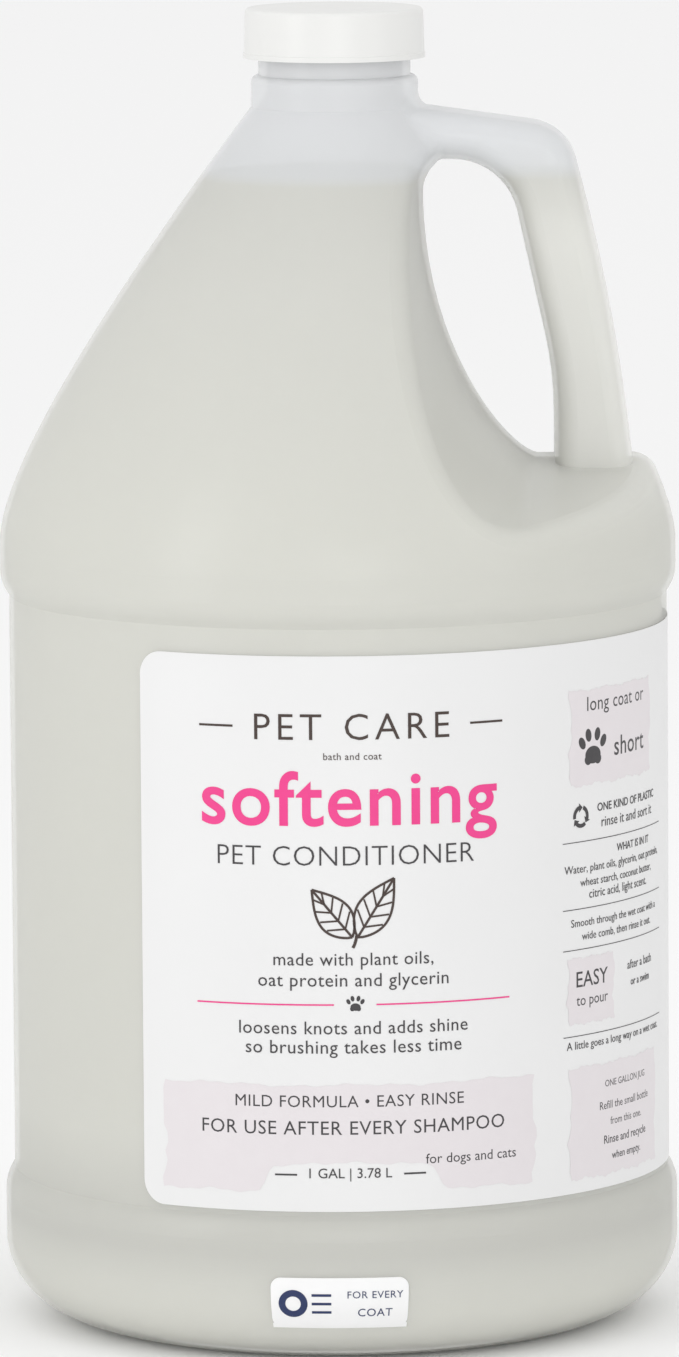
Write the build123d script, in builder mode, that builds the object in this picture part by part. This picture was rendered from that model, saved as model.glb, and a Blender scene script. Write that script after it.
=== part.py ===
"""One-gallon round grooming-liquid jug with a hollow handle and a screw cap.

Millimetres, +Z up. The origin is the middle of the base on the jug's axis, the handle is toward +X
and the front of the label is toward -Y. The cap is screwed down.
"""

from build123d import *
from math import acos, asin, cos, degrees, radians, sin, tan
import os

# Body, measured on the outside of the wall
body_radius = 77.2          # the two bumper bands, which are the widest stretches
panel_step = 2.05           # how far the label panel is sunk below the bumpers
base_radius = 55.0          # flat bottom inside the rounded heel
heel_height = 19.0
lower_bumper_top = 29.2
panel_height = 132.0
upper_bumper_height = 5.5
shoulder_height = 99.4      # from the upper bumper to the neck ring
shoulder_angle = 37.0       # the cone's angle from vertical where it meets the neck ring
shoulder_swell = 16.0       # how far the shoulder keeps rising straight above the bumper
shoulder_reach = 58.0       # how far the cone runs straight below the neck ring
bumper_arc = 9.0            # radius of the rounded step from a bumper to the panel
wall = 1.0
push_up = 4.0               # how far the middle of the base is raised
rest_width = 7.5            # flat ring that the jug stands on

# Neck finish, 38 mm with a 400 thread
neck_radius = 17.3          # at the root of the thread
neck_wall = 1.9
ring_step = 1.7             # how far the ring below the finish stands out, and its rounded top
ring_height = 5.6           # straight side of the ring
finish_height = 12.8        # from the top of the ring to the rim

# Thread, six turns per inch, on the neck and in the cap
thread_pitch = 25.4 / 6
thread_turns = 1.2
thread_depth = 1.3          # how far the neck's ridge stands out
thread_drop = 2.0           # from the rim to the middle of the ridge's upper end
thread_play = 0.35          # between a ridge's tip and the wall that it faces
ridge_root = 2.0            # width of a ridge where it leaves its wall
ridge_tip = 0.9
ridge_bite = 0.2            # how deep a ridge is rooted in its wall

# Cap and liner
cap_height = 11.3
cap_panel = 1.3
cap_skirt = 1.3             # wall of the skirt under its top edge
cap_taper = 0.25            # how much the skirt widens toward its mouth
cap_bead = 0.2              # how far the bead at the mouth stands out
cap_bead_height = 1.1
cap_edge = 1.0              # rounded top edge
liner_thickness = 1.0
liner_play = 0.2            # round the liner, inside the skirt
seal_gap = 0.05             # between the rim, the liner and the cap

# Finger pocket, between the body and the handle, given on the parting plane
pocket_clear = 1.0          # from the side of the neck ring to the pocket's body-side wall
pocket_top_drop = 11.6      # from the neck ring down to the top of the pocket
pocket_ledge_rise = 20.0    # from the upper bumper to the ledge under the pocket
pocket_corner_spare = 0.2   # how far the pocket top corner runs past the surface of the shoulder
pocket_foot_inset = 31.1    # from the body's side in to where the ledge starts to rise
foot_pull = 6.0             # how far the wall's curve clings to the ledge
wall_pull = 0.62            # and to the upright wall, as a share of its height
wall_draft = 6.5            # the pocket's walls open out from the parting plane by these angles
ledge_draft = 10.2
top_draft = 6.0
flare_pull = 0.16           # how much more the curve clings to its ends at the draft depth
pocket_edge_round = 6.0

# Handle
handle_width = 26.0         # across, along Y
handle_thickness = 15.3     # from the hand side to the outer side
handle_round = 5.0          # rounded long edges
grip_inset = 27.5           # from the body's side to the hand side of the grip
grip_foot_rise = 8.0        # from the ledge up to where the grip starts to lean in
grip_bend = 90.0
grip_lean = 12.5            # lean of the grip from vertical, in degrees
grip_corner = 15.0          # hand-side radius between grip and arm
arm_slope = 8.1             # fall of the arm's top from the neck outward, in degrees
arm_thickness = 10.52       # where the arm's underside meets the hand-side corner
arm_start_x = 5.0
handle_corner = 12.0        # outer radius between arm and grip
outer_bulge = 1.7           # how far the grip's outer side bows out
foot_flare = 2.2            # how much thicker the grip is at the ledge
foot_depth = 13.0           # how far the handle runs on inside the shoulder
arm_fillet = 4.0            # between the arm and the neck

# Liquid
fill_drop = 3.4             # from the top of the pocket down to the liquid's surface
fill_gap = 0.2              # between the wall and the liquid

# Wrap label and small sticker; angles run from the front toward +X
label_gap = 0.05            # adhesive under the film
label_film = 0.15
label_start = -36.0
label_sweep = 232.0
label_height = 125.0
label_margin = 5.9          # bare panel above the label
label_corner = 5.5
sticker_start = -12.0
sticker_sweep = 23.0
sticker_bottom = 9.6
sticker_height = 11.8
sticker_corner = 2.2

# Radii and heights that follow from the sizes above
ring_radius = neck_radius + ring_step
bore_radius = neck_radius - neck_wall
panel_radius = body_radius - panel_step
step_rise = bumper_arc * sin(acos(1 - panel_step / bumper_arc))
panel_bottom = lower_bumper_top + step_rise
panel_top = panel_bottom + panel_height
upper_bumper_bottom = panel_top + step_rise
shoulder_start = upper_bumper_bottom + upper_bumper_height
ring_bottom = shoulder_start + shoulder_height
ring_top = ring_bottom + ring_height + ring_step
rim = ring_top + finish_height
pocket_top = ring_bottom - pocket_top_drop
pocket_ledge = shoulder_start + pocket_ledge_rise
draft_depth = body_radius + 1


def direction(angle):
    """Unit vector in a sketch at an angle in degrees, anticlockwise from its X axis."""
    return Vector(cos(radians(angle)), sin(radians(angle)))


def shoulder_points(inset):
    """Control points of the shoulder's outline, from the upper bumper to the neck ring."""
    cone_out = direction(shoulder_angle - 90)
    cone_in = direction(shoulder_angle - 180)
    foot = Vector(body_radius - inset, shoulder_start)
    ring_foot = Vector(ring_radius, ring_bottom) + cone_in * inset
    return foot, foot + Vector(0, shoulder_swell), ring_foot + cone_out * shoulder_reach, ring_foot


# The pocket's top corner is as large as lets it end on the shoulder
shoulder_at_pocket = Bezier(*shoulder_points(0)).intersect(Axis((0, pocket_top, 0), (1, 0, 0)))[0]
pocket_corner = shoulder_at_pocket.X - ring_radius - pocket_clear + pocket_corner_spare


def pocket_outline(inset, depth):
    """Finger pocket seen from the front, cut at a depth in front of the parting plane."""
    flare = depth / draft_depth
    side = ring_radius + pocket_clear - inset - depth * tan(radians(wall_draft))
    top = pocket_top + inset + depth * tan(radians(top_draft))
    ledge = pocket_ledge - inset - depth * tan(radians(ledge_draft))
    far = body_radius + handle_thickness
    foot_x = body_radius - pocket_foot_inset * (1 + flare_pull * flare)
    wall_end = top - pocket_corner * (1 + flare)
    pull_up = (wall_pull + flare_pull * flare) * (wall_end - ledge)
    with BuildSketch(Plane.XZ.offset(depth)) as outline:
        with BuildLine():
            shelf = Line((far, ledge), (foot_x, ledge))
            curve = Bezier(
                shelf @ 1,
                (foot_x - foot_pull * (1 + flare), ledge),
                (side, wall_end - pull_up),
                (side, wall_end),
            )
            corner = JernArc(curve @ 1, (0, 1), top - wall_end, -90)
            lid = Line(corner @ 1, (far, top))
            Line(lid @ 1, shelf @ 0)
        make_face()
    return outline.sketch


def handle_outline(inset):
    """Handle seen from the front: arm, grip and the ends that run on inside the jug."""
    grip_x = body_radius - grip_inset
    foot_bottom = pocket_ledge - foot_depth
    outer_foot = (grip_x + handle_thickness + foot_flare, pocket_ledge)
    lean = direction(90 + grip_lean)
    with BuildSketch(Plane.XZ) as outline:
        with BuildLine():
            inside = Line((grip_x, foot_bottom), (grip_x, pocket_ledge + grip_foot_rise))
            bend = JernArc(inside @ 1, (0, 1), grip_bend, grip_lean)
            rise = pocket_top - (bend @ 1).Y - grip_corner * (1 - sin(radians(grip_lean)))
            hand = Line(bend @ 1, bend @ 1 + lean * (rise / lean.Y))
            corner = JernArc(hand @ 1, lean, grip_corner, 90 - grip_lean)
            under = Line(corner @ 1, (arm_start_x, pocket_top))
            arm_end = corner @ 1 + Vector(0, arm_thickness)
            outward = Vector(1, -tan(radians(arm_slope)))
            ceiling_start = arm_end + outward * (arm_start_x - arm_end.X)
            ceiling_end = arm_end + outward * (body_radius - arm_end.X)
            ceiling = Line(ceiling_start, ceiling_end, mode=Mode.PRIVATE)
            side_start = bend @ 1 + direction(grip_lean) * handle_thickness
            side = IntersectingLine(side_start, lean, ceiling, mode=Mode.PRIVATE)
            end = Line(under @ 1, ceiling_start)
            top = Line(end @ 1, side @ 1)
            outside = SagittaArc(top @ 1, outer_foot, outer_bulge)
            fall = (pocket_ledge - foot_bottom) / (outside % 1).Y
            heel = Line(outside @ 1, outside @ 1 - outside % 1 * fall)
            Line(heel @ 1, inside @ 0)
        make_face()
        fillet(outline.vertices().sort_by_distance(side @ 1)[0], handle_corner)
        if inset:
            offset(amount=-inset, mode=Mode.REPLACE)
    return outline.sketch


def form(inset):
    """Solid jug shape, its walls moved in by inset; the outside of the jug is form(0)."""
    radius = body_radius - inset
    arc = bumper_arc - inset
    turn = degrees(acos(1 - panel_step / arc))
    ring_foot = shoulder_points(inset)[-1]

    with BuildPart() as shape:
        with BuildSketch(Plane.XZ):
            with BuildLine():
                dome = ThreePointArc(
                    (0, push_up + inset),
                    ((base_radius - rest_width) / 2, push_up * 0.75 + inset),
                    (base_radius - rest_width, inset),
                )
                flat = Line(dome @ 1, (base_radius, inset))
                heel = EllipticalCenterArc(
                    (base_radius, heel_height),
                    radius - base_radius,
                    heel_height - inset,
                    start_angle=270,
                    arc_size=90,
                )
                band = Line(heel @ 1, (radius, lower_bumper_top))
                step_in = JernArc(band @ 1, (0, 1), arc, turn)
                step_out = JernArc((radius, upper_bumper_bottom), (0, -1), arc, -turn)
                Line(step_in @ 1, step_out @ 1)
                Line(step_out @ 0, (radius, shoulder_start))
                shoulder = Bezier(*shoulder_points(inset))
                if inset:
                    run = (ring_foot.X - bore_radius) / tan(radians(shoulder_angle))
                    neck = Line(shoulder @ 1, (bore_radius, ring_foot.Y + run))
                else:
                    ring = Line(shoulder @ 1, (ring_radius, ring_bottom + ring_height))
                    neck = JernArc(ring @ 1, (0, 1), ring_step, 90)
                spout = Line(neck @ 1, ((neck @ 1).X, rim))
                Line(spout @ 1, (0, rim))
                Line((0, rim), dome @ 0)
            make_face()
        revolve(axis=Axis.Z)

        # The finger pocket flares from the parting plane to the front and to the back

        outlines = [pocket_outline(inset, 0), pocket_outline(inset, draft_depth)]
        pocket = loft(outlines, ruled=True, mode=Mode.PRIVATE)
        add([pocket, pocket.mirror(Plane.XZ)], mode=Mode.SUBTRACT)
        shoulder_side = faces().filter_by(GeomType.REVOLUTION).sort_by(SortBy.AREA)[-1]
        mouth = shoulder_side.edges().filter_by(GeomType.BSPLINE)
        fillet(mouth, pocket_edge_round - inset)
    return shape.part


def handle_bar(inset):
    """Handle with its long edges rounded, its surface moved in by inset."""
    with BuildPart() as bar:
        extrude(handle_outline(inset), amount=handle_width / 2 - inset, both=True)
        buried_ends = edges().group_by(Axis.X)[0] + edges().group_by(Axis.Z)[0]
        long_edges = faces().filter_by(Axis.Y).edges() - buried_ends
        fillet(long_edges, handle_round - inset)
    return bar.part


def ridge(root_radius, tip_radius, lower_end):
    """Screw ridge from the wall at root_radius to tip_radius; lower_end is its middle's height."""
    bite = ridge_bite if tip_radius < root_radius else -ridge_bite
    with BuildPart() as thread:
        with BuildLine() as path:
            Helix(thread_pitch, thread_pitch * thread_turns, root_radius, (0, 0, lower_end))
        with BuildSketch(Plane.XZ):
            with BuildLine():
                Polyline(
                    (root_radius + bite, lower_end - ridge_root / 2),
                    (root_radius + bite, lower_end + ridge_root / 2),
                    (tip_radius, lower_end + ridge_tip / 2),
                    (tip_radius, lower_end - ridge_tip / 2),
                    close=True,
                )
            make_face()
        sweep(path=path.line, is_frenet=True)
    return thread.part


def around(angle):
    """Upright plane through the Z axis whose X side points at an angle from the front."""
    turn = radians(angle)
    return Plane((0, 0, 0), x_dir=(sin(turn), -cos(turn), 0), z_dir=(-cos(turn), -sin(turn), 0))


def corner_cutters(radius, start, sweep_angle, bottom, height, corner):
    """Tools that round the four corners of a film wound on a radius."""
    with BuildPart() as tools:
        for angle, inward in ((start, 1), (start + sweep_angle, -1)):
            outward = Vector(sin(radians(angle)), -cos(radians(angle)), 0)
            along = Vector(cos(radians(angle)), sin(radians(angle)), 0) * inward
            middle = outward * radius + Vector(0, 0, bottom + height / 2)
            with BuildSketch(Plane(origin=middle, x_dir=along, z_dir=outward)):
                for end in (height / 2, -height / 2):
                    step = corner if end > 0 else -corner
                    with Locations((corner / 2, end - step / 2)):
                        Rectangle(corner, corner)
                    with Locations((corner, end - step)):
                        Circle(corner, mode=Mode.SUBTRACT)
            extrude(amount=corner, both=True)
    return tools.part


# Jug: blow-moulded shell with a hollow handle, open at the neck, with the thread round the neck
jug_body = form(0)
jug_bar = handle_bar(0)
with BuildPart() as jug:
    add(jug_body)
    add(jug_bar)
    joins = new_edges(jug_body, jug_bar, combined=jug.part)
    fillet(joins.filter_by_position(Axis.Z, pocket_top - 1, ring_top), arm_fillet)
    add(form(wall), mode=Mode.SUBTRACT)
    add(handle_bar(wall), mode=Mode.SUBTRACT)
    thread_start = rim - thread_drop - thread_pitch * thread_turns
    add(ridge(neck_radius, neck_radius + thread_depth, thread_start))
jug.part.label = "jug"

# Conditioner: the liquid in the body and in the hollow handle, up to one level
with BuildPart() as conditioner:
    add(form(wall + fill_gap))
    add(handle_bar(wall + fill_gap))
    split(bisect_by=Plane.XY.offset(pocket_top - fill_drop), keep=Keep.BOTTOM)
conditioner.part.label = "conditioner"

# Liner: the foam disc that the rim presses on, wide enough to stay above the cap's ridge
skirt_inside = neck_radius + thread_depth + thread_play
with BuildPart() as cap_liner:
    with BuildSketch(Plane.XY.offset(rim + seal_gap)):
        Circle(skirt_inside - liner_play)
    extrude(amount=liner_thickness)
cap_liner.part.label = "cap_liner"

# Cap: smooth skirt with a bead at its mouth. Its ridge is half a turn round from the neck's, so it
# runs midway between the neck's turns
cap_ceiling = rim + seal_gap + liner_thickness + seal_gap
cap_top = cap_ceiling + cap_panel
cap_mouth = cap_top - cap_height
skirt_top_radius = skirt_inside + cap_skirt
skirt_radius = skirt_top_radius + cap_taper
bead_radius = skirt_radius + cap_bead
with BuildPart() as screw_cap:
    with BuildSketch(Plane.XZ):
        with BuildLine():
            Polyline(
                (0, cap_ceiling),
                (skirt_inside, cap_ceiling),
                (skirt_inside, cap_mouth),
                (bead_radius, cap_mouth),
                (bead_radius, cap_mouth + cap_bead_height),
                (skirt_radius, cap_mouth + cap_bead_height + cap_bead),
                (skirt_top_radius, cap_top),
                (0, cap_top),
                close=True,
            )
        make_face()
    revolve(axis=Axis.Z)
    fillet(edges().group_by(Axis.Z)[-1], cap_edge)
    cap_ridge = ridge(skirt_inside, neck_radius + thread_play, thread_start)
    add(cap_ridge.rotate(Axis.Z, 180))
screw_cap.part.label = "screw_cap"

# Label: film wound round the sunk panel
with BuildPart() as label:
    with BuildSketch(around(label_start)):
        with Locations((panel_radius + label_gap, panel_top - label_margin)):
            Rectangle(label_film, label_height, align=(Align.MIN, Align.MAX))
    revolve(axis=Axis.Z, revolution_arc=label_sweep)
    label_bottom = panel_top - label_margin - label_height
    cutters = corner_cutters(
        panel_radius, label_start, label_sweep, label_bottom, label_height, label_corner
    )
    add(cutters, mode=Mode.SUBTRACT)
label.part.label = "label"

# Sticker: a small film that follows the lower bumper down on to the heel
with BuildPart() as sticker:
    with BuildSketch(around(sticker_start)):
        with BuildLine():
            centre = (base_radius, heel_height)
            across = body_radius - base_radius + label_gap
            down = heel_height + label_gap
            dip = degrees(asin((heel_height - sticker_bottom) / down))
            back = EllipticalCenterArc(centre, across, down, start_angle=-dip, arc_size=dip)
            face = EllipticalCenterArc(
                centre, across + label_film, down + label_film, start_angle=-dip, arc_size=dip
            )
            top = sticker_bottom + sticker_height
            Polyline(back @ 1, ((back @ 1).X, top), ((face @ 1).X, top), face @ 1)
            Line(back @ 0, face @ 0)
        make_face()
    revolve(axis=Axis.Z, revolution_arc=sticker_sweep)
    cutters = corner_cutters(
        body_radius, sticker_start, sticker_sweep, sticker_bottom, sticker_height, sticker_corner
    )
    add(cutters, mode=Mode.SUBTRACT)
sticker.part.label = "sticker"

os.makedirs("parts", exist_ok=True)
for piece in (jug, conditioner, cap_liner, screw_cap, label, sticker):
    export_step(piece.part, f"parts/{piece.part.label}.step")
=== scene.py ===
"""A one-gallon jug of pet conditioner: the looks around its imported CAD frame."""

import math

import bmesh
import bpy
import numpy as np
from mathutils import Matrix, Vector


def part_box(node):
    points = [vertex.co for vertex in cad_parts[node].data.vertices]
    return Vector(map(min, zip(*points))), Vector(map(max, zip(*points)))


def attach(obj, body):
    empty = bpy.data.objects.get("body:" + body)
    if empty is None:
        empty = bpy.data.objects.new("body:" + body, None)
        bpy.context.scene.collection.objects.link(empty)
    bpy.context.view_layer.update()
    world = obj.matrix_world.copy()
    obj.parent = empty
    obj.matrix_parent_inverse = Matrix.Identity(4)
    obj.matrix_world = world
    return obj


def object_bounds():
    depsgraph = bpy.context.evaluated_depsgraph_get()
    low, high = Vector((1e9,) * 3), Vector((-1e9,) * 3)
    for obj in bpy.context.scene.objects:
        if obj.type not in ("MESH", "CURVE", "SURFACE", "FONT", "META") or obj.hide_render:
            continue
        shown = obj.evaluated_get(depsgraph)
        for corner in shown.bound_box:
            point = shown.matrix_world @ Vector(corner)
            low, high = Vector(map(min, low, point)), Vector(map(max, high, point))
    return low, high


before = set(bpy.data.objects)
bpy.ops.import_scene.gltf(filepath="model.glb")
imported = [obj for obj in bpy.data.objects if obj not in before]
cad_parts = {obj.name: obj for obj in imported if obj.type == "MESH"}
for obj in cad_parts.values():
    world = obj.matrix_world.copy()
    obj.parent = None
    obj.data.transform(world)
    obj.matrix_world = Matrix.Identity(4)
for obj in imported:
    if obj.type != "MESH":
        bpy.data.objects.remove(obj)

cad_low, cad_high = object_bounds()


# The jug: one blow-moulded shell of natural polyethylene, a milky plastic about 1 mm thick that
# lets the liquid's level show. Its handle is hollow and its neck carries the screw thread.
def new_material(name, colour, roughness):
    """A node material of one colour and roughness, ready for its pattern."""
    material = bpy.data.materials.new(name)
    material.use_nodes = True
    shader = material.node_tree.nodes["Principled BSDF"]
    shader.inputs["Base Color"].default_value = (*colour, 1)
    shader.inputs["Roughness"].default_value = roughness
    return material


def noise(material, lump, detail=3.0, stretch=(1, 1, 1)):
    """Noise on Object coordinates with lumps about lump metres wide."""
    nodes, links = material.node_tree.nodes, material.node_tree.links
    place = nodes.new("ShaderNodeTexCoord")
    mapping = nodes.new("ShaderNodeMapping")
    mapping.inputs["Scale"].default_value = stretch
    pattern = nodes.new("ShaderNodeTexNoise")
    pattern.inputs["Scale"].default_value = 1 / lump
    pattern.inputs["Detail"].default_value = detail
    links.new(place.outputs["Object"], mapping.inputs["Vector"])
    links.new(mapping.outputs["Vector"], pattern.inputs["Vector"])
    return pattern.outputs["Fac"]


def height_ramp(material, stops):
    """Colour by height: stops are (height in metres, colour) pairs from the bottom up."""
    nodes, links = material.node_tree.nodes, material.node_tree.links
    place = nodes.new("ShaderNodeTexCoord")
    split = nodes.new("ShaderNodeSeparateXYZ")
    level = nodes.new("ShaderNodeMapRange")
    level.inputs["From Min"].default_value = stops[0][0]
    level.inputs["From Max"].default_value = stops[-1][0]
    ramp = nodes.new("ShaderNodeValToRGB")
    span = stops[-1][0] - stops[0][0]
    while len(ramp.color_ramp.elements) < len(stops):
        ramp.color_ramp.elements.new(1.0)
    for element, (height, colour) in zip(ramp.color_ramp.elements, stops):
        element.position = (height - stops[0][0]) / span
        element.color = (*colour, 1)
    links.new(place.outputs["Object"], split.inputs["Vector"])
    links.new(split.outputs["Z"], level.inputs["Value"])
    links.new(level.outputs["Result"], ramp.inputs["Fac"])
    return ramp.outputs["Color"]


def handle_light_mask(material, start, end, foot, top, fading, faded):
    """Where light is painted: 1 in the handle, rising from start to end along X and from foot to top in
    height, then fading.
    """
    nodes, links = material.node_tree.nodes, material.node_tree.links
    place = nodes.new("ShaderNodeTexCoord")
    split = nodes.new("ShaderNodeSeparateXYZ")
    links.new(place.outputs["Object"], split.inputs["Vector"])
    mask = None
    for axis, empty, full in (("X", start, end), ("Z", foot, top), ("Z", faded, fading)):
        rise = nodes.new("ShaderNodeMapRange")
        rise.interpolation_type = "SMOOTHSTEP"
        rise.inputs["From Min"].default_value = empty
        rise.inputs["From Max"].default_value = full
        links.new(split.outputs[axis], rise.inputs["Value"])
        if mask is None:
            mask = rise.outputs["Result"]
            continue
        product = nodes.new("ShaderNodeMath")
        product.operation = "MULTIPLY"
        links.new(mask, product.inputs[0])
        links.new(rise.outputs["Result"], product.inputs[1])
        mask = product.outputs["Value"]
    return mask


def paint_light(material, colour, mask, lighter):
    """Painted light: mixes a colour toward a lighter one where the mask is 1."""
    nodes, links = material.node_tree.nodes, material.node_tree.links
    mix = nodes.new("ShaderNodeMix")
    mix.data_type = "RGBA"
    mix.inputs["B"].default_value = (*lighter, 1)
    links.new(mask, mix.inputs["Factor"])
    links.new(colour, mix.inputs["A"])
    return mix.outputs["Result"]


def tint(material, pattern, dark, light, over=None):
    """Base colour between dark and light by a pattern, times the colour over if there is one."""
    nodes, links = material.node_tree.nodes, material.node_tree.links
    mix = nodes.new("ShaderNodeMix")
    mix.data_type = "RGBA"
    mix.inputs["A"].default_value = (*dark, 1)
    mix.inputs["B"].default_value = (*light, 1)
    links.new(pattern, mix.inputs["Factor"])
    colour = mix.outputs["Result"]
    if over:
        product = nodes.new("ShaderNodeMix")
        product.data_type = "RGBA"
        product.blend_type = "MULTIPLY"
        product.inputs["Factor"].default_value = 1.0
        links.new(over, product.inputs["A"])
        links.new(colour, product.inputs["B"])
        colour = product.outputs["Result"]
    links.new(colour, nodes["Principled BSDF"].inputs["Base Color"])


def drive(material, pattern, socket, low, high):
    """Carries a pattern into one of the shader's sockets, between two values."""
    nodes, links = material.node_tree.nodes, material.node_tree.links
    spread = nodes.new("ShaderNodeMapRange")
    spread.inputs["From Min"].default_value = 0.3
    spread.inputs["From Max"].default_value = 0.7
    spread.inputs["To Min"].default_value = low
    spread.inputs["To Max"].default_value = high
    links.new(pattern, spread.inputs["Value"])
    links.new(spread.outputs["Result"], nodes["Principled BSDF"].inputs[socket])


def relief(material, pattern, depth):
    """Bump from a pattern whose full swing is depth metres."""
    nodes, links = material.node_tree.nodes, material.node_tree.links
    bump = nodes.new("ShaderNodeBump")
    bump.inputs["Distance"].default_value = depth
    links.new(pattern, bump.inputs["Height"])
    links.new(bump.outputs["Normal"], nodes["Principled BSDF"].inputs["Normal"])


def dress(node, material):
    """Gives a CAD node's object one material in every slot."""
    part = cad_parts[node]
    if not part.data.materials:
        part.data.materials.append(material)
    for slot in part.material_slots:
        slot.material = material


fill_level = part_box("conditioner")[1][2]
polyethylene = new_material("natural_polyethylene", (0.86, 0.88, 0.9), 0.3)
wall_shader = polyethylene.node_tree.nodes["Principled BSDF"]
wall_shader.inputs["IOR"].default_value = 1.5
wall_shader.inputs["Alpha"].default_value = 0.5
# The wall's colour by height mixes its real tone with painted light and shade. The real tone is the
# lighter, bluish wall above the fill level, where no liquid stands behind it. The painted part is a
# lighter lowest heel, a painted dark band 26 to 34 mm up under the label, and darker wall just below the
# fill level.
wall_tone_and_painted_shade = height_ramp(
    polyethylene,
    [
        (0.0, (0.92, 0.92, 0.87)),
        (0.012, (0.86, 0.86, 0.81)),
        (0.026, (0.70, 0.70, 0.665)),
        (0.034, (0.71, 0.71, 0.672)),
        (0.05, (0.80, 0.80, 0.755)),
        (0.19, (0.81, 0.81, 0.765)),
        (fill_level - 0.025, (0.795, 0.795, 0.76)),
        (fill_level - 0.001, (0.76, 0.76, 0.73)),
        (fill_level + 0.0005, (0.80, 0.815, 0.83)),
        (fill_level + 0.014, (0.83, 0.84, 0.86)),
        (cad_high[2], (0.82, 0.83, 0.84)),
    ],
)
# Painted light: the wall's colour is mixed lighter over the handle and the ledge at its foot, lifting the
# shade that falls there.
handle_painted_light = handle_light_mask(polyethylene, 0.022, 0.045, 0.18, 0.202, 0.245, 0.268)
wall_tone_and_painted_shade = paint_light(polyethylene, wall_tone_and_painted_shade, handle_painted_light, (0.92, 0.92, 0.89))
tint(polyethylene, noise(polyethylene, 0.09, 1.0), (0.975, 0.975, 0.975), (1, 1, 1), over=wall_tone_and_painted_shade)
drive(polyethylene, noise(polyethylene, 0.03, 1.0), "Roughness", 0.28, 0.34)
relief(polyethylene, noise(polyethylene, 0.03, 0.0, (1, 1, 0.5)), 0.00004)
dress("jug", polyethylene)

# The conditioner: a cloudy, faintly green-grey liquid that fills the body and the hollow handle
# to one level, seen through the wall.
liquid = new_material("conditioner_liquid", (0.6, 0.6, 0.5), 0.45)
tint(liquid, noise(liquid, 0.06, 1.0), (0.60, 0.60, 0.51), (0.64, 0.64, 0.55))
dress("conditioner", liquid)

# The cap: white polypropylene, injection moulded and screwed down on the neck; under it a disc of
# white polyethylene foam seals the rim.
polypropylene = new_material("cap_polypropylene", (0.86, 0.86, 0.85), 0.3)
tint(polypropylene, noise(polypropylene, 0.02, 1.0), (0.735, 0.735, 0.72), (0.755, 0.755, 0.74))
drive(polypropylene, noise(polypropylene, 0.006, 1.0), "Roughness", 0.3, 0.36)
relief(polypropylene, noise(polypropylene, 0.0012, 0.0), 0.000004)
dress("screw_cap", polypropylene)

foam = new_material("liner_foam", (0.85, 0.85, 0.84), 0.75)
tint(foam, noise(foam, 0.002), (0.80, 0.80, 0.78), (0.88, 0.88, 0.86))
relief(foam, noise(foam, 0.0006), 0.00005)
dress("cap_liner", foam)

# The label: one piece of white film with its own glue, wound most of the way round the sunk panel
# of the jug and pressed flat, so that it lies a little below the bumpers on either side.
film = new_material("label_film", (0.93, 0.93, 0.93), 0.36)
tint(film, noise(film, 0.03, 1.0), (0.735, 0.735, 0.735), (0.755, 0.755, 0.755))
drive(film, noise(film, 0.012, 1.0), "Roughness", 0.34, 0.4)
relief(film, noise(film, 0.008, 0.0), 0.000006)
dress("label", film)

# The printing: thin layers of ink on the film. Each layer is drawn flat in millimetres, across from
# the front's middle and up from the ground, and then bent round the label.
label_corners = np.array([vertex.co[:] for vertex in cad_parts["label"].data.vertices])
label_radius = 1000 * np.hypot(label_corners[:, 0], label_corners[:, 1]).max()
ink_layer = 0.02            # thickness of one layer of ink, in millimetres
largest_facet = 2.5         # widest flat piece of ink, in millimetres


def gather(drawings):
    """One drawing of several: their points in a row, and their faces counted on."""
    points, faces, count = [], [], 0
    for some_points, some_faces in drawings:
        points.append(some_points)
        faces.extend([[corner + count for corner in face] for face in some_faces])
        count += len(some_points)
    return np.vstack(points), faces


def oval(centre, half_width, half_height, tilt=0.0, sides=28):
    """Filled ellipse: points at equal angles round its middle, joined to the middle."""
    angle = np.linspace(0, 2 * math.pi, sides, endpoint=False)
    ring = np.stack([half_width * np.cos(angle), half_height * np.sin(angle)], axis=1)
    turn = np.array([[math.cos(tilt), math.sin(tilt)], [-math.sin(tilt), math.cos(tilt)]])
    points = np.vstack([ring @ turn, [[0, 0]]]) + centre
    corner = np.arange(sides)
    faces = np.stack([corner, (corner + 1) % sides, np.full(sides, sides)], axis=1)
    return points, faces.tolist()


def stroke(points, width):
    """Ribbon along a line of points, which moves each point half the width to either side."""
    points = np.asarray(points, float)
    along = np.gradient(points, axis=0)
    along /= np.linalg.norm(along, axis=1)[:, None]
    half = np.broadcast_to(np.asarray(width, float), len(points))[:, None] / 2
    side = np.stack([-along[:, 1], along[:, 0]], axis=1) * half
    step = np.arange(len(points) - 1)
    over = step + len(points)
    faces = np.stack([step, step + 1, over + 1, over], axis=1)
    return np.vstack([points - side, points + side]), faces.tolist()


def rule(left, right, height, width):
    """Straight level line from left to right."""
    across = np.linspace(left, right, 2 + int(abs(right - left) / largest_facet))
    return stroke(np.stack([across, np.full(len(across), height)], axis=1), width)


def letters(words, bold, spread, steps):
    """Outline of some built-in letters one em tall: their points and faces, on a baseline of 0.
    Each curve of a letter is drawn in a number of steps."""
    line = bpy.data.curves.new("line", "FONT")
    line.body = words
    line.offset = bold
    line.space_character = spread
    line.resolution_u = steps
    holder = bpy.data.objects.new("line", line)
    outline = bpy.data.meshes.new_from_object(holder)
    points = np.empty(len(outline.vertices) * 3)
    outline.vertices.foreach_get("co", points)
    faces = [list(polygon.vertices) for polygon in outline.polygons]
    bpy.data.objects.remove(holder)
    bpy.data.curves.remove(line)
    bpy.data.meshes.remove(outline)
    return points.reshape(-1, 3)[:, :2], faces


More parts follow.
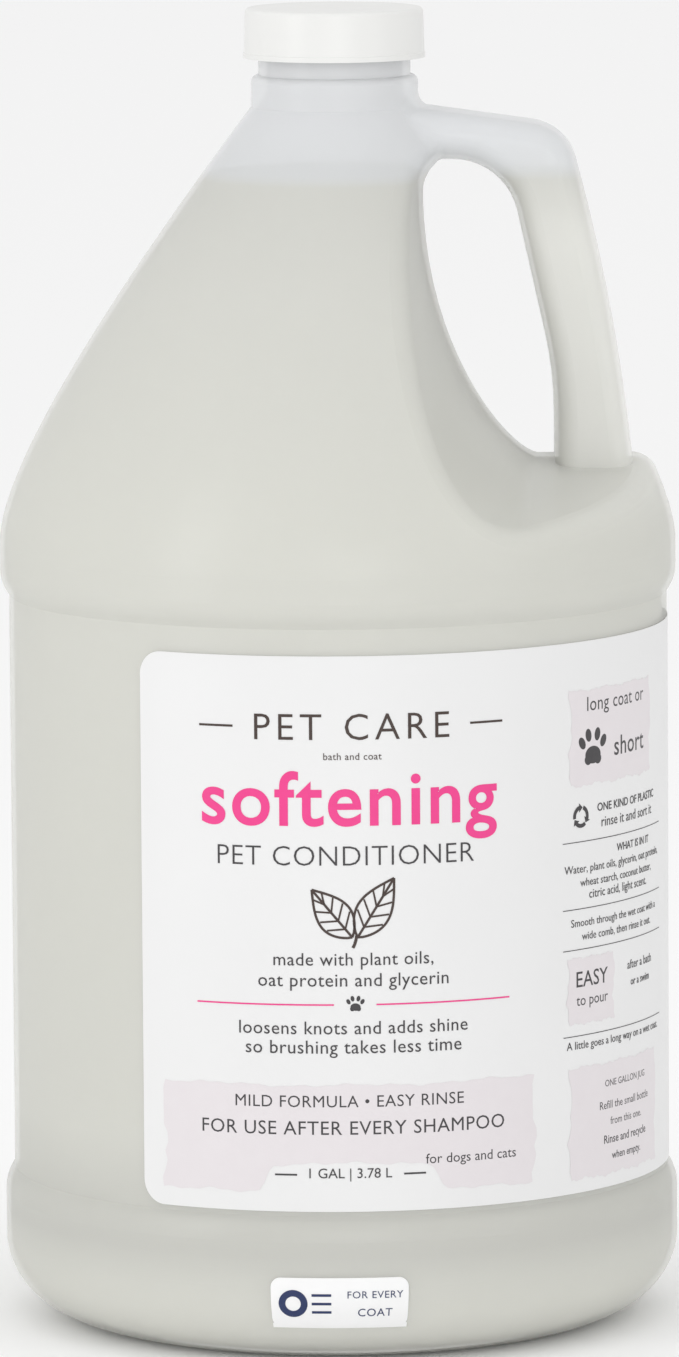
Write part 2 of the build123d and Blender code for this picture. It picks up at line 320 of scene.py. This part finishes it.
def sliced(drawing):
    """The same drawing with every face cut at upright lines, so that it can follow a bend."""
    points, faces = drawing
    flat = bmesh.new()
    corners = [flat.verts.new((x, y, 0)) for x, y in points.tolist()]
    for face in faces:
        flat.faces.new([corners[index] for index in face])
    first, last = points[:, 0].min(), points[:, 0].max()
    for cut in np.arange(first + largest_facet, last, largest_facet):
        everything = flat.verts[:] + flat.edges[:] + flat.faces[:]
        bmesh.ops.bisect_plane(flat, geom=everything, plane_co=(cut, 0, 0), plane_no=(1, 0, 0))
    flat.verts.index_update()
    points = np.array([vertex.co[:2] for vertex in flat.verts])
    faces = [[vertex.index for vertex in face.verts] for face in flat.faces]
    flat.free()
    return points, faces


def lettering(words, centre, width, bold=0.0, spread=1.0, steps=3):
    """A line of print round a centre, scaled to a width."""
    points, faces = letters(words, bold, spread, steps)
    low, high = points.min(axis=0), points.max(axis=0)
    points = (points - (low + high) / 2) * width / (high[0] - low[0])
    return sliced((points + centre, faces))


def leaf(root, length, width, angle, line, veins=4):
    """Leaf in line: each edge bows out as a sine of the way along, round a midrib with veins."""
    root = np.asarray(root, float)
    along = np.array([math.cos(angle), math.sin(angle)])
    across = np.array([-along[1], along[0]])
    way = np.linspace(0, 1, 25)
    bow = width / 2 * np.sin(math.pi * way**0.8)
    middle = root + np.outer(way * length, along)
    ribbons = [stroke(middle + np.outer(side * bow, across), line) for side in (1, -1)]
    ribbons.append(stroke(middle, line))
    for side in (1, -1):
        for vein in range(veins):
            start = (vein + 1) / (veins + 1.8)
            end = start + 0.17
            reach = 0.45 * width * math.sin(math.pi * end**0.8)
            tip = root + along * end * length + across * side * reach
            base = root + along * start * length
            ribbons.append(stroke(base + np.outer(np.linspace(0, 1, 4), tip - base), line * 0.75))
    return gather(ribbons)


def paw(centre, size):
    """Paw print: a broad pad and four toes on an arc above it."""
    centre = np.asarray(centre, float)
    pad = [oval(centre + (0, -0.17 * size), 0.27 * size, 0.2 * size)]
    pad.append(oval(centre + (-0.17 * size, -0.27 * size), 0.12 * size, 0.12 * size))
    pad.append(oval(centre + (0.17 * size, -0.27 * size), 0.12 * size, 0.12 * size))
    for angle in (152, 112, 68, 28):
        spot = math.radians(angle)
        toe = centre + (0.42 * size * math.cos(spot), 0.36 * size * math.sin(spot) - 0.05 * size)
        pad.append(oval(toe, 0.1 * size, 0.15 * size, (spot - math.pi / 2) * 0.5))
    return gather(pad)


def brushed_patch(left, right, bottom, top, wander=0.5, notch=(0.0, 0.0, 0.0)):
    """Patch of colour: a grid whose edges wander by sines of the way along them. A notch of
    (middle, half width, height) is taken out of its lower edge."""
    u, v = np.meshgrid(np.linspace(-1, 1, 81), np.linspace(-1, 1, 13))
    ends = wander * (np.sin(4.1 * v + left) + 0.6 * np.sin(11 * v + 2) + 0.4 * np.sin(23 * v))
    across = (left + right) / 2 + u * (right - left) / 2 + ends * np.abs(u) ** 9
    edge = wander * (0.5 * np.sin(9 * u + top) + 0.4 * np.sin(25 * u + 1) + 0.3 * np.sin(57 * u))
    low = bottom + edge
    if notch[1]:
        low = low + notch[2] / (1 + np.exp((np.abs(across - notch[0]) - notch[1]) * 1.6))
    up = low + (v + 1) / 2 * (top + 0.8 * edge[:, ::-1] - low)
    rows, columns = u.shape
    index = np.arange(rows * columns).reshape(rows, columns)
    quads = [index[:-1, :-1], index[:-1, 1:], index[1:, 1:], index[1:, :-1]]
    faces = np.stack([corner.ravel() for corner in quads], axis=1)
    return np.stack([across.ravel(), up.ravel()], axis=1), faces.tolist()


def ink(name, colour, darker):
    """Printing ink: a flat colour, a little uneven, with the film's soft gloss."""
    material = new_material(name, colour, 0.36)
    tint(material, noise(material, 0.004), darker, colour)
    drive(material, noise(material, 0.003), "Roughness", 0.3, 0.42)
    return material


def print_layer(name, drawing, material, layer, radius_at=None):
    """Bends a drawing round the jug's axis: a point goes to the angle (its distance across / the
    radius) from the front, at its own height and the radius there, raised by its layer."""
    points, faces = drawing
    lift = ink_layer * (1 + layer)
    angle = points[:, 0] / label_radius
    radius = lift + (radius_at(points[:, 1]) if radius_at else np.full(len(points), label_radius))
    place = np.stack([radius * np.sin(angle), -radius * np.cos(angle), points[:, 1]], axis=1)
    mesh = bpy.data.meshes.new(name)
    mesh.from_pydata((place / 1000).tolist(), [], faces)
    mesh.materials.append(material)
    piece = bpy.data.objects.new(name, mesh)
    bpy.context.scene.collection.objects.link(piece)
    thicken = piece.modifiers.new("ink", "SOLIDIFY")
    thicken.thickness = ink_layer / 1000
    thicken.offset = 1
    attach(piece, "bottle")
    return piece


umber = ink("umber_ink", (0.050, 0.030, 0.024), (0.040, 0.024, 0.018))
pink = ink("pink_ink", (0.80, 0.045, 0.26), (0.74, 0.035, 0.22))
charcoal = ink("charcoal_ink", (0.045, 0.042, 0.045), (0.035, 0.032, 0.035))
mauve = ink("mauve_ink", (0.715, 0.68, 0.695), (0.69, 0.65, 0.668))
middle = 3.0                # the printing's middle line is this far right of the front

# The front's top line: a plain name line between two short rules, with a smaller line below it,
# all printed in one layer of umber ink.
top_line = [
    lettering("PET CARE", (middle, 145.2), 44, bold=-0.006, spread=1.25),
    lettering("bath and coat", (middle, 138.6), 13.0, spread=1.05),
    rule(middle - 35, middle - 27, 145.2, 0.5),
    rule(middle + 27, middle + 35, 145.2, 0.5),
]
print_layer("print_top_line", gather(top_line), umber, 1)

# The headline: plain upright letters, the largest on the label, printed in pink ink. Their curves
# are drawn in more steps than the small print's.
headline = lettering("softening", (middle - 0.5, 127.2), 68, bold=0.012, spread=1.08, steps=8)
print_layer("print_headline", headline, pink, 1)

# What it is and what is in it: thin capitals, small lines and a paw in charcoal ink, a two-leaf
# sprout in umber, and a pink rule on each side of the paw.
sprout = [
    leaf((middle - 0.3, 98.0), 14.0, 7.6, math.radians(130), 0.55, 4),
    leaf((middle + 0.9, 98.0), 15.5, 7.6, math.radians(58), 0.55, 4),
    stroke([(middle + 0.7, 98.4), (middle + 0.5, 97.4), (middle + 0.2, 96.4), (middle - 0.2, 95.6)], 0.7),
]
print_layer("print_sprout", gather(sprout), umber, 1)
small_lines = [
    lettering("PET CONDITIONER", (middle - 1.5, 116.3), 58.5, bold=-0.012, spread=1.05),
    lettering("made with plant oils,", (middle, 92.6), 36, spread=1.05),
    lettering("oat protein and glycerin", (middle, 87.9), 43, spread=1.05),
    lettering("loosens knots and adds shine", (middle, 77.6), 52, spread=1.05),
    lettering("so brushing takes less time", (middle, 72.8), 49, spread=1.05),
    paw((middle + 0.3, 83.0), 4.2),
]
print_layer("print_small_lines", gather(small_lines), charcoal, 1)
rules = [rule(middle - 36, middle - 4.5, 82.8, 0.35), rule(middle + 5, middle + 36.5, 82.8, 0.35)]
print_layer("print_pink_rules", gather(rules), pink, 1)

# The claim panel: a mauve patch with ragged edges, two lines of capitals and a small line printed
# over it, and the jug's volume between two short rules in a notch of its lower edge.
claim_patch = brushed_patch(-41.5, 46.0, 40.3, 64.6, 0.55, notch=(2.5, 19.5, 6.6))
print_layer("print_claim_patch", claim_patch, mauve, 0)
claims = [
    lettering("MILD FORMULA • EASY RINSE", (middle - 1, 61.0), 52, spread=1.06),
    lettering("FOR USE AFTER EVERY SHAMPOO", (middle, 55.0), 70, spread=1.06),
    lettering("for dogs and cats", (middle + 27, 47.2), 22),
    lettering("1 GAL | 3.78 L", (middle - 1, 44.4), 18.5),
    rule(middle - 18, middle - 13, 44.4, 0.4),
    rule(middle + 11, middle + 16, 44.4, 0.4),
]
print_layer("print_claims", gather(claims), charcoal, 1)

# The right-hand panel, where the label turns out of sight: mauve patches, and over them a paw, an
# arrow loop and small lines parted by thin rules.
panel = math.radians(56) * label_radius
patches = [
    brushed_patch(panel - 16.5, panel + 17, 128.5, 150.0, 0.5),
    brushed_patch(panel - 17.5, panel - 1.5, 74.5, 89.5, 0.4),
    brushed_patch(panel - 17, panel + 20, 39.0, 64.5, 0.5),
]
print_layer("print_panel_patches", gather(patches), mauve, 0)


def arrow_loop(centre, radius, width):
    """Three curved arrows that chase each other round a circle."""
    arrows = []
    for turn in (90, 210, 330):
        angle = np.radians(np.linspace(turn + 100, turn + 14, 12))
        arc = np.stack([np.cos(angle), np.sin(angle)], axis=1) * radius + centre
        arrows.append(stroke(arc, width))
        head = np.radians([turn + 16, turn - 14])
        tip = np.stack([np.cos(head), np.sin(head)], axis=1) * radius + centre
        arrows.append(stroke(tip, [2.3 * width, 0.02]))
    return gather(arrows)


panel_lines = [
    lettering("long coat or", (panel + 1, 146.2), 24, spread=1.05),
    paw((panel - 9, 136.8), 10),
    lettering("short", (panel + 6, 136.2), 14, bold=0.006, spread=1.05),
    arrow_loop((panel - 13.2, 121.5), 2.1, 0.9),
    lettering("ONE KIND OF PLASTIC", (panel + 6, 123.0), 27, bold=0.01),
    lettering("rinse it and sort it", (panel + 6, 119.6), 24),
    rule(panel - 19, panel + 24, 115.8, 0.18),
    lettering("WHAT IS IN IT", (panel + 8, 113.0), 16, bold=0.01),
    lettering("Water, plant oils, glycerin, oat protein,", (panel + 2, 109.4), 41),
    lettering("wheat starch, coconut butter,", (panel + 2, 106.4), 31),
    lettering("citric acid, light scent.", (panel + 2, 103.4), 25),
    rule(panel - 19, panel + 24, 100.6, 0.18),
    lettering("Smooth through the wet coat with a", (panel + 2, 97.2), 37),
    lettering("wide comb, then rinse it out.", (panel + 2, 94.2), 30),
    rule(panel - 19, panel + 24, 91.4, 0.18),
    lettering("EASY", (panel - 9.4, 84.6), 11, bold=0.004),
    lettering("to pour", (panel - 9.4, 79.2), 11),
    lettering("after a bath", (panel + 11, 85.6), 13),
    lettering("or a swim", (panel + 11, 81.6), 10, bold=0.008),
    rule(panel - 19, panel + 24, 71.8, 0.18),
    lettering("A little goes a long way on a wet coat.", (panel + 2, 69.4), 40),
    lettering("ONE GALLON JUG", (panel + 4, 59.5), 18),
    lettering("Refill the small bottle", (panel + 4, 54.8), 22),
    lettering("from this one.", (panel + 4, 51.0), 14),
    lettering("Rinse and recycle", (panel + 4, 46.6), 19, bold=0.008),
    lettering("when empty.", (panel + 4, 42.8), 13, bold=0.008),
]
print_layer("print_panel_lines", gather(panel_lines), charcoal, 1)

# The back of the label: how to use it in short lines, how much to use on a mauve patch, a paw, two
# leaves, and a striped code whose bars mean nothing.
back = math.radians(112) * label_radius
code = math.radians(165) * label_radius
how_to = ["Wet the coat well.", "Mix with warm water.", "Work in from neck to tail.",
          "Leave on for two minutes.", "Rinse until the water is clear.", "Brush out and dry."]
back_lines = [
    lettering("HOW TO USE", (back, 145.5), 30, bold=0.01, spread=1.05),
    rule(back - 24, back + 24, 140.5, 0.3),
    paw((code, 134), 20),
    rule(code - 20, code + 20, 118, 0.3),
    leaf((code - 1, 92), 19, 9.5, math.radians(118), 0.55, 5),
    leaf((code + 1, 92), 19, 9.5, math.radians(62), 0.55, 5),
    lettering("0 12345 67890 5", (code, 45.6), 27),
]
first_line = 132.5
line_step = 7.5
letter_step = 1.62          # how much wider each letter makes a line
for count, words in enumerate(how_to):
    place = (back, first_line - line_step * count)
    back_lines.append(lettering(f"{count + 1}  {words}", place, letter_step * len(words) + 5))
code_bars = 30
bar_start = code - 15
for count in range(code_bars):
    bar = 0.3 + 0.28 * ((count * 7) % 3)
    across = bar_start + bar / 2
    back_lines.append(stroke([(across, 66.0), (across, 48.5)], bar))
    bar_start += bar + 0.3 + 0.25 * ((count * 5) % 3)
print_layer("print_back_lines", gather(back_lines), charcoal, 1)
back_patch = brushed_patch(back - 26, back + 26, 44.0, 80.0, 0.6)
print_layer("print_back_patch", back_patch, mauve, 0)
dose_lines = [
    lettering("HOW MUCH TO USE", (back, 74.0), 36),
    lettering("small pet      1 spoon", (back, 67.0), 36),
    lettering("medium pet     2 spoons", (back, 60.5), 38),
    lettering("large pet      3 spoons", (back, 54.0), 38),
    lettering("in a jug of warm water", (back, 48.2), 30),
]
print_layer("print_dose_lines", gather(dose_lines), charcoal, 1)

# The sticker: a small white film on the lower bumper and heel, with a plain ring, three straight
# bars and two short words, all in one ink.
heel_middle = 55.0          # radius where the heel's curve starts under the jug
heel_height = 19.0          # height where the heel's curve meets the bumper
sticker_corners = 1000 * np.array([vertex.co[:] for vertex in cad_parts["sticker"].data.vertices])
sticker_face = np.hypot(sticker_corners[:, 0], sticker_corners[:, 1]).max()
sticker_angles = np.arctan2(sticker_corners[:, 0], -sticker_corners[:, 1]) * label_radius
sticker_left, sticker_right = sticker_angles.min(), sticker_angles.max()
sticker_middle = (sticker_corners[:, 2].max() + sticker_corners[:, 2].min()) / 2


def sticker_radius(height):
    """Radius of the sticker's face: the bumper's, and a quarter ellipse down the heel below it."""
    drop = np.clip(heel_height - height, 0, None) / (heel_height + 0.2)
    return heel_middle + (sticker_face - heel_middle) * np.sqrt(1 - drop**2)


white_film = new_material("sticker_film", (0.93, 0.93, 0.93), 0.4)
tint(white_film, noise(white_film, 0.004), (0.83, 0.83, 0.83), (0.86, 0.86, 0.86))
drive(white_film, noise(white_film, 0.002), "Roughness", 0.34, 0.44)
dress("sticker", white_film)
navy = ink("navy_ink", (0.014, 0.030, 0.11), (0.010, 0.022, 0.09))


def flat_ring(centre, inner, outer, steps=48, bands=4):
    """Closed ring: circles from the inner radius to the outer one, joined by narrow bands."""
    angle = np.linspace(0, 2 * math.pi, steps, endpoint=False)
    circle = np.stack([np.cos(angle), np.sin(angle)], axis=1)
    radii = np.linspace(inner, outer, bands + 1)
    points = (radii[:, None, None] * circle + centre).reshape(-1, 2)
    band, step = (grid.ravel() for grid in np.meshgrid(np.arange(bands), np.arange(steps), indexing="ij"))
    here, beyond = band * steps, (band + 1) * steps
    after = (step + 1) % steps
    faces = np.stack([here + step, beyond + step, beyond + after, here + after], axis=1)
    return points, faces.tolist()


badge = sticker_left + 4.9
badge_half = 3.2
badge_hole = 1.7
badge_ring = flat_ring((badge, sticker_middle), badge_hole, badge_half)
print_layer("print_badge", badge_ring, navy, 1, sticker_radius)
bar_gap = 2.0               # from one bar to the next
across = np.linspace(badge + badge_half + 0.9, badge + 8.4, 12)
bars = []
for count in range(3):
    height = np.full(len(across), sticker_middle + bar_gap - bar_gap * count)
    bars.append(stroke(np.stack([across, height], axis=1), 0.6))
print_layer("print_bars", gather(bars), navy, 1, sticker_radius)
sticker_words = [
    lettering("FOR EVERY", (sticker_right - 7.3, sticker_middle + 2.1), 12.2, spread=1.08),
    lettering("COAT", (sticker_right - 7.3, sticker_middle - 2.1), 7.6, spread=1.08),
]
print_layer("print_sticker_words", gather(sticker_words), navy, 1, sticker_radius)

# The stage: a pale floor that reaches far past the jug, a white studio round it, four soft lamps,
# and a long lens a little above the jug.
floor_half = 8.0
floor_corners = [(-1, -1), (1, -1), (1, 1), (-1, 1)]
floor_mesh = bpy.data.meshes.new("floor")
floor_mesh.from_pydata([(x * floor_half, y * floor_half, 0) for x, y in floor_corners], [], [(0, 1, 2, 3)])
pale = new_material("pale_floor", (0.96, 0.96, 0.96), 0.9)
floor_mesh.materials.append(pale)
floor = bpy.data.objects.new("floor", floor_mesh)
bpy.context.scene.collection.objects.link(floor)

# The studio is white all round, a little dimmer toward the right.
world = bpy.data.worlds.new("studio")
world.use_nodes = True
world_nodes, world_links = world.node_tree.nodes, world.node_tree.links
way = world_nodes.new("ShaderNodeTexCoord")
split = world_nodes.new("ShaderNodeSeparateXYZ")
dim = world_nodes.new("ShaderNodeMapRange")
dim.inputs["From Min"].default_value = -1
dim.inputs["To Min"].default_value = 0.98
dim.inputs["To Max"].default_value = 0.88
world_links.new(way.outputs["Generated"], split.inputs["Vector"])
world_links.new(split.outputs["X"], dim.inputs["Value"])
world_links.new(dim.outputs["Result"], world_nodes["Background"].inputs["Strength"])
world_nodes["Background"].inputs["Color"].default_value = (1, 1, 1, 1)
bpy.context.scene.world = world
bpy.context.scene.view_settings.view_transform = "Standard"


def softbox(name, azimuth, height, distance, width, tall, power):
    """A soft rectangular lamp round the jug; azimuth is 0 at the front and grows toward +X."""
    lamp = bpy.data.lights.new(name, "AREA")
    lamp.shape = "RECTANGLE"
    lamp.size = width
    lamp.size_y = tall
    lamp.energy = power
    turn = math.radians(azimuth)
    place = Vector((math.sin(turn) * distance, -math.cos(turn) * distance, height))
    aim = Vector((0, 0, 0.15)) - place
    holder = bpy.data.objects.new(name, lamp)
    holder.location = place
    holder.rotation_euler = aim.to_track_quat("-Z", "Y").to_euler()
    bpy.context.scene.collection.objects.link(holder)


softbox("left_softbox", -52, 0.5, 1.3, 0.35, 1.1, 2.4)
softbox("right_softbox", 54, 0.5, 1.4, 0.35, 1.1, 1.0)
softbox("front_softbox", 6, 0.55, 2.6, 1.4, 1.0, 7)
softbox("top_softbox", 0, 1.6, 0.5, 1.0, 1.0, 1.0)

# The camera stands 2.4 m in front, looks slightly down at the jug's middle, and leans a little.
focal_length = 280.5        # in millimetres
camera_lean = math.radians(-0.388)
lens = bpy.data.cameras.new("camera")
lens.lens = focal_length
lens.sensor_width = 36
camera = bpy.data.objects.new("camera", lens)
camera.location = (0, -2.4, 0.458)
aim = Vector((0.00024, 0, 0.1463)) - camera.location
camera_roll = Matrix.Rotation(camera_lean, 3, "Z")
camera.rotation_euler = (aim.to_track_quat("-Z", "Y").to_matrix() @ camera_roll).to_euler()
bpy.context.scene.collection.objects.link(camera)
bpy.context.scene.camera = camera
